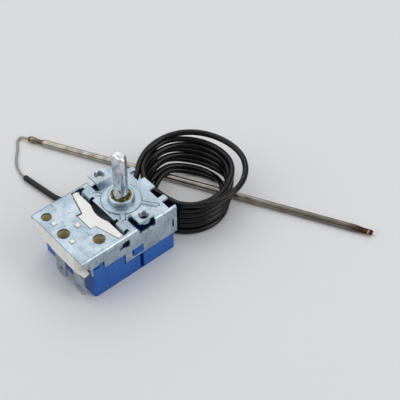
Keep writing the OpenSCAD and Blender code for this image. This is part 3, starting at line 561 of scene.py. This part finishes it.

# %% Steatite with painted shade in its recesses
RECESS_CENTRES = [(-11.5, -27.8), (-0.3, -27.8), (10.6, -19.0)]
RECESS_REACH = (3.0, 2.7)    # distances from a centre at which the painted shade starts and is full
SHADE_DEPTHS = (0.5, 1.6)     # depths under the top face at which it starts and is full
block_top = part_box("terminal_block")[1][2]


def block_colour(tree):
    place = add(tree, "TexCoord", out="Object")
    height = add(tree, "SeparateXYZ", {0: place}, out="Z")
    flat = add(tree, "Mapping", {"Vector": place, "Scale": (1, 1, 0)})
    starts, full = (block_top - depth * MM for depth in SHADE_DEPTHS)
    deep = add(tree, "MapRange", {0: height, 1: starts, 2: full})
    near = 0.0
    for centre in RECESS_CENTRES:
        away = add(tree, "VectorMath", {0: flat, 1: metres((*centre, 0))}, out="Value", operation="DISTANCE")
        close = add(tree, "MapRange", {0: away, 1: RECESS_REACH[0] * MM, 2: RECESS_REACH[1] * MM})
        near = add(tree, "Math", {0: close, 1: near}, operation="MAXIMUM")
    # painted shade: deep in each recess, near its axis, the steatite is painted darker and a little yellow
    inside = add(tree, "Math", {0: deep, 1: near}, operation="MULTIPLY")
    outer = steatite_colour("#F1EEE5", "#FAF8F4")(tree)
    recess_shade = steatite_colour("#CBBF98", "#D9CFAE")(tree)
    return add(tree, "Mix", {0: inside, 6: outer, 7: recess_shade}, **COLOURS)


block_steatite = finish_of("steatite_fired_painted_recess_shade", block_colour, 0.0, 0.48, steatite_grain, 0.015, IOR=1.55)

# %% [markdown]
# **Blue moulding.** The lower housing is a glass-filled thermoset, moulded blue all through. The mould's skin is
# smooth, with a faint flow pattern and a satin gloss.

# %% Blue moulding
def moulded_skin(tree):
    return add(tree, "Math", {0: spots(tree, 0.3, 2), 1: spots(tree, 3, 2)}, operation="ADD")


blue = finish_of("thermoset_moulded_blue", clouds("#0052A8", "#0062C0", 9, 4, 0.3, 0.7, (1, 1, 0.4)), 0.0,
                 uneven_sheen(0.26, 0.40, 2.2, 4, 0.3, 0.7), moulded_skin, 0.008)

# %% [markdown]
# **Turned metals.** The spindle is turned steel with a bright nickel plate, and the bush is turned brass, stained
# by flux and grease. A lathe tool leaves fine rings about 0.1 mm apart. They are bands across the spindle's
# axis, drawn about 0.55 mm apart, so that they show. A Wave Texture of scale 1 has a band in every tenth of pi.

# %% Turned metals
RING_SPACING = 0.5527


def turned_rings(tree):
    place = add(tree, "TexCoord", out="Object")
    scale = math.pi / 10 / (RING_SPACING * MM)
    wave = add(tree, "TexWave", {"Vector": place, "Scale": scale, "Distortion": 1.2, "Detail": 2.0}, out="Fac",
               wave_type="BANDS", bands_direction="Z")
    return add(tree, "Math", {0: wave, 1: 0.6, 2: spots(tree, 0.4, 2, (1, 1, 6))}, operation="MULTIPLY_ADD")


nickel = finish_of("nickel_plate_turned", clouds("#DDE0E2", "#B4BAC0", 2.4, 4, 0.4, 0.72), 1.0,
                   uneven_sheen(0.12, 0.26, 1.2, 3, 0.3, 0.75, (1, 1, 5)), turned_rings, 0.004)
brass = finish_of("brass_turned_stained", clouds("#A09257", "#514824", 1.1, 4, 0.42, 0.62), 1.0,
                  uneven_sheen(0.22, 0.45, 0.8, 3, 0.3, 0.7), turned_rings, 0.004)

# %% [markdown]
# **Metals of the switch.** The blades are stamped brass with a thin tin plate, grey and a little cloudy, with
# faint marks down them from the stamping. The rivets are headed brass, dimpled by the tool. The contacts are
# silver, the moving blade is rolled beryllium bronze, and the lever's spring is drawn wire. The grain of rolled
# and drawn metal is finer than shown here: it is drawn about 0.2 mm wide.

# %% Metals of the switch
tin = finish_of("tin_plate_stamped", clouds("#B0B7BD", "#858F99", 1.8, 5, 0.4, 0.7), 1.0,
                uneven_sheen(0.22, 0.42, 1.0, 4, 0.3, 0.7), lambda tree: spots(tree, 0.3, 2, (1, 1, 0.08)), 0.005)
silver = finish_of("silver_contact", linear("#D9D8D2"), 1.0, 0.3, lambda tree: spots(tree, 0.2, 2), 0.004)
bronze = finish_of("beryllium_bronze_rolled", linear("#C9A063"), 1.0, 0.3,
                   lambda tree: spots(tree, 0.2, 2, (0.05, 1, 1)), 0.003)
spring_steel = finish_of("spring_wire_drawn", linear("#9EA3A8"), 1.0, 0.3,
                         lambda tree: spots(tree, 0.15, 2), 0.003)
rivet_metal = finish_of("brass_rivet_headed", clouds("#B09A5E", "#75683C", 0.7, 3, 0.4, 0.65), 1.0, 0.36,
                        lambda tree: spots(tree, 0.5, 3), 0.02)

# %% [markdown]
# **Capsule and grommet.** The capsule is two welded steel diaphragms, darkened by heat, so it stays nearly black
# and shines only where light grazes it. The grommet is moulded rubber: dark and dull, with a fine matt skin.

# %% Capsule and grommet
dark_steel = finish_of("diaphragm_steel_darkened", clouds("#222327", "#3D4046", 2.0, 4, 0.4, 0.7), 0.75,
                       uneven_sheen(0.28, 0.46, 1.5, 3, 0.3, 0.7))
rubber = finish_of("moulded_rubber", linear("#141416"), 0.0, 0.6, lambda tree: spots(tree, 0.2, 2), 0.01)

# %% [markdown]
# **Drawn tube and braze.** The bulb and the capillary are drawn stainless tube, with fine streaks along them.
# Heat has browned the bulb at its brazed neck and at its welded end. The lip there is painted lighter, as a painted
# highlight, and the far half is painted darker, as painted shade. So the colour follows the distance along the
# bulb.

# %% Colour along the bulb
BULB_WAY = (0, 0, -29)


def along_bulb(tree):
    """Distance along the bulb from its brazed end, in metres."""
    place = add(tree, "TexCoord", out="Object")
    moved = add(tree, "Mapping", {"Vector": place, "Location": [-c * MM for c in BULB_START] + [0]},
                vector_type="POINT")
    turned = add(tree, "VectorRotate", {"Vector": moved, "Angle": -BULB_ANGLE, "Center": (0, 0, 0)},
                 rotation_type="Z_AXIS")
    return add(tree, "SeparateXYZ", {0: turned})


def bulb_colour(tree):
    """Lays the stains, the painted shade and the painted highlight over the drawn steel; each starts at one
    distance along the bulb and is full at the next.
    """
    way = along_bulb(tree)
    colour = clouds("#BEB9B1", "#989087", 4, 4, 0.35, 0.7)(tree)
    # painted shade: the far half of the bulb is painted darker
    painted_far_shade = add(tree, "MapRange", {0: way, 1: 60 * MM, 2: 130 * MM, 4: 0.75})
    brazed = add(tree, "MapRange", {0: way, 1: 8.4 * MM, 2: 6.6 * MM, 4: 0.85})
    welded = add(tree, "MapRange", {0: way, 1: (BULB_LENGTH - 12) * MM, 2: (BULB_LENGTH - 5) * MM, 4: 0.92})
    # painted highlight: a lighter band round the lip of the welded end
    lip_starts = add(tree, "MapRange", {0: way, 1: (BULB_LENGTH - 2.3) * MM, 2: (BULB_LENGTH - 2.0) * MM})
    lip_ends = add(tree, "MapRange", {0: way, 1: (BULB_LENGTH - 1.3) * MM, 2: (BULB_LENGTH - 1.6) * MM, 4: 0.8})
    lip_highlight = add(tree, "Math", {0: lip_starts, 1: lip_ends}, operation="MULTIPLY")
    for share, code in ((painted_far_shade, "#5E564D"), (brazed, "#4D3625"), (welded, "#3B2416"), (lip_highlight, "#B39A82")):
        colour = add(tree, "Mix", {0: share, 6: colour, 7: linear(code)}, **COLOURS)
    return colour


# %% Drawn tube and braze
stainless = finish_of("stainless_tube_drawn", bulb_colour, 1.0,
                      uneven_sheen(0.15, 0.28, 2, 4, 0.3, 0.7, (0.2, 1, 1), BULB_WAY),
                      lambda tree: spots(tree, 0.2, 3, (0.03, 1, 1), BULB_WAY), 0.004)
braze = finish_of("braze_heat_tinted", clouds("#A09178", "#4A3624", 1.3, 4, 0.4, 0.66), 1.0, 0.34,
                  lambda tree: spots(tree, 0.5, 3), 0.03)
capillary_steel = finish_of("capillary_tube_drawn", linear("#A39E95"), 1.0, 0.28,
                            lambda tree: spots(tree, 0.2, 2), 0.004)

# %% [markdown]
# **Black sleeve.** An extruded sleeve has a smooth, glossy skin. Light runs along every turn as one thin line, a
# little broken where the skin is rubbed.

# %% Black sleeve
black = finish_of("extruded_sleeve_black", clouds("#050506", "#101012", 1.5, 4, 0.5, 0.75), 0.0,
                  uneven_sheen(0.18, 0.30, 2.0, 4, 0.35, 0.7), lambda tree: spots(tree, 0.4, 3), 0.008,
                  IOR=1.5, Specular_IOR_Level=0.34)

# %% [markdown]
# ## Finishes on the pieces
# The pieces made here get their finish first. Seven solids have edges that show, so each gets a rounded copy; the
# width of its edge is what pressing, firing or moulding leaves. The others are small, hidden or round already,
# and the solid itself is finished.

# %% Finishes on the made pieces
# the tap has cut the threads bright, so they take the tin finish
made = {sleeve: black, capillary: capillary_steel, bulb: stainless, joint: braze, thread: tin, other_thread: tin}
for piece, material in made.items():
    piece.data.materials.clear()
    piece.data.materials.append(material)
print("made pieces finished:", len(made))

# %% Rounded copies of the solids that show their edges
edges = {"frame_plate": (0.12, zinc, "zinc_plate"), "terminal_block": (0.25, block_steatite, "ceramic"),
         "lever": (0.2, steatite, "ceramic"), "housing": (0.18, blue, "housing_blue"),
         "spindle": (0.1, nickel, "spindle_steel"), "terminal_1": (0.1, tin, "terminal_tin"),
         "terminal_2": (0.1, tin, "terminal_tin")}
for node, (width, material, slot) in edges.items():
    piece = rounded_copy(node, width)
    piece.data.materials.clear()
    piece.data.materials.append(material)

# %% Solids that keep their own mesh
plain = {"bush": brass, "capsule": dark_steel, "thrust_button": steatite, "capsule_lead": capillary_steel,
         "lever_spring": spring_steel, "pushrod": steatite, "snap_spring": bronze, "moving_contact": silver,
         "fixed_contact": silver, "terminal_rivets": rivet_metal, "grommet": rubber}
for node, material in plain.items():
    nodes[node].data.materials.clear()
    nodes[node].data.materials.append(material)
print("solids finished:", len(plain))

# %% [markdown]
# ## Floor and light
# The floor is plain pale paper. Metal shows what stands round it, so the light comes from soft boxes with a
# dimmer room between them: one box stands where the top plate mirrors it to the camera, one where the long right
# bend does. Together they light a level surface about as strongly as plain daylight of strength 1, so colours
# render as written. Each box is large for its power, so that metal which mirrors it doesn't go blank white.

# %% Floor
let_go()
bpy.ops.mesh.primitive_plane_add(size=8, location=(0, 0, FLOOR * MM))
floor = settle(bpy.context.object)
floor.name = "floor"
floor.data.materials.append(finish_of("floor_paper", (0.80, 0.80, 0.80, 1), 0.0, 0.9))


# %% Soft boxes
def soft_box(name, place, size, power):
    data = bpy.data.lights.new(name, "AREA")
    data.shape = "RECTANGLE"
    data.size, data.size_y = size
    data.energy = power
    lamp = bpy.data.objects.new(name, data)
    bpy.context.scene.collection.objects.link(lamp)
    lamp.location = place
    lamp.rotation_euler = Vector(place).to_track_quat("Z", "Y").to_euler()
    print(name, "radiance:", round(power / (math.pi * size[0] * size[1]), 2))


soft_box("panel_behind_left", (-0.60, 0.42, 0.81), (1.5, 1.1), 3.9)
soft_box("strip_behind_right", (0.75, 0.42, 0.55), (0.45, 1.0), 2.75)
soft_box("box_front_left", (-0.5, -0.75, 0.7), (1.1, 0.9), 3.1)

# %% [markdown]
# ## The room
# The room is dim at eye level and bright overhead, which gives metal something dark to show beside the boxes.
# Low down its wall is as pale as the far floor in front of it, so the floor seems to have no edge. The height
# that sets its tone is 0 at eye level and 1 straight overhead.

# %% The room
world = bpy.data.worlds.new("studio")
bpy.context.scene.world = world
world.use_nodes = True
tree = world.node_tree
height = add(tree, "SeparateXYZ", {0: add(tree, "TexCoord", out="Generated")}, out="Z")
overhead = add(tree, "MapRange", {0: height, 1: 0.15, 2: 0.9})
room = add(tree, "Mix", {0: overhead, 6: (0.13, 0.13, 0.135, 1), 7: (0.78, 0.79, 0.81, 1)}, **COLOURS)
low_down = add(tree, "MapRange", {0: height, 1: 0.20, 2: 0.12})
wall = add(tree, "Mix", {0: low_down, 6: room, 7: (0.45, 0.45, 0.455, 1)}, **COLOURS)
tree.links.new(wall, tree.nodes["Background"].inputs["Color"])
tree.nodes["Background"].inputs["Strength"].default_value = 0.8
bpy.context.scene.view_settings.view_transform = "Standard"
print("room nodes:", len(tree.nodes))

# %% Letting go and a last update
let_go()
bpy.context.view_layer.update()
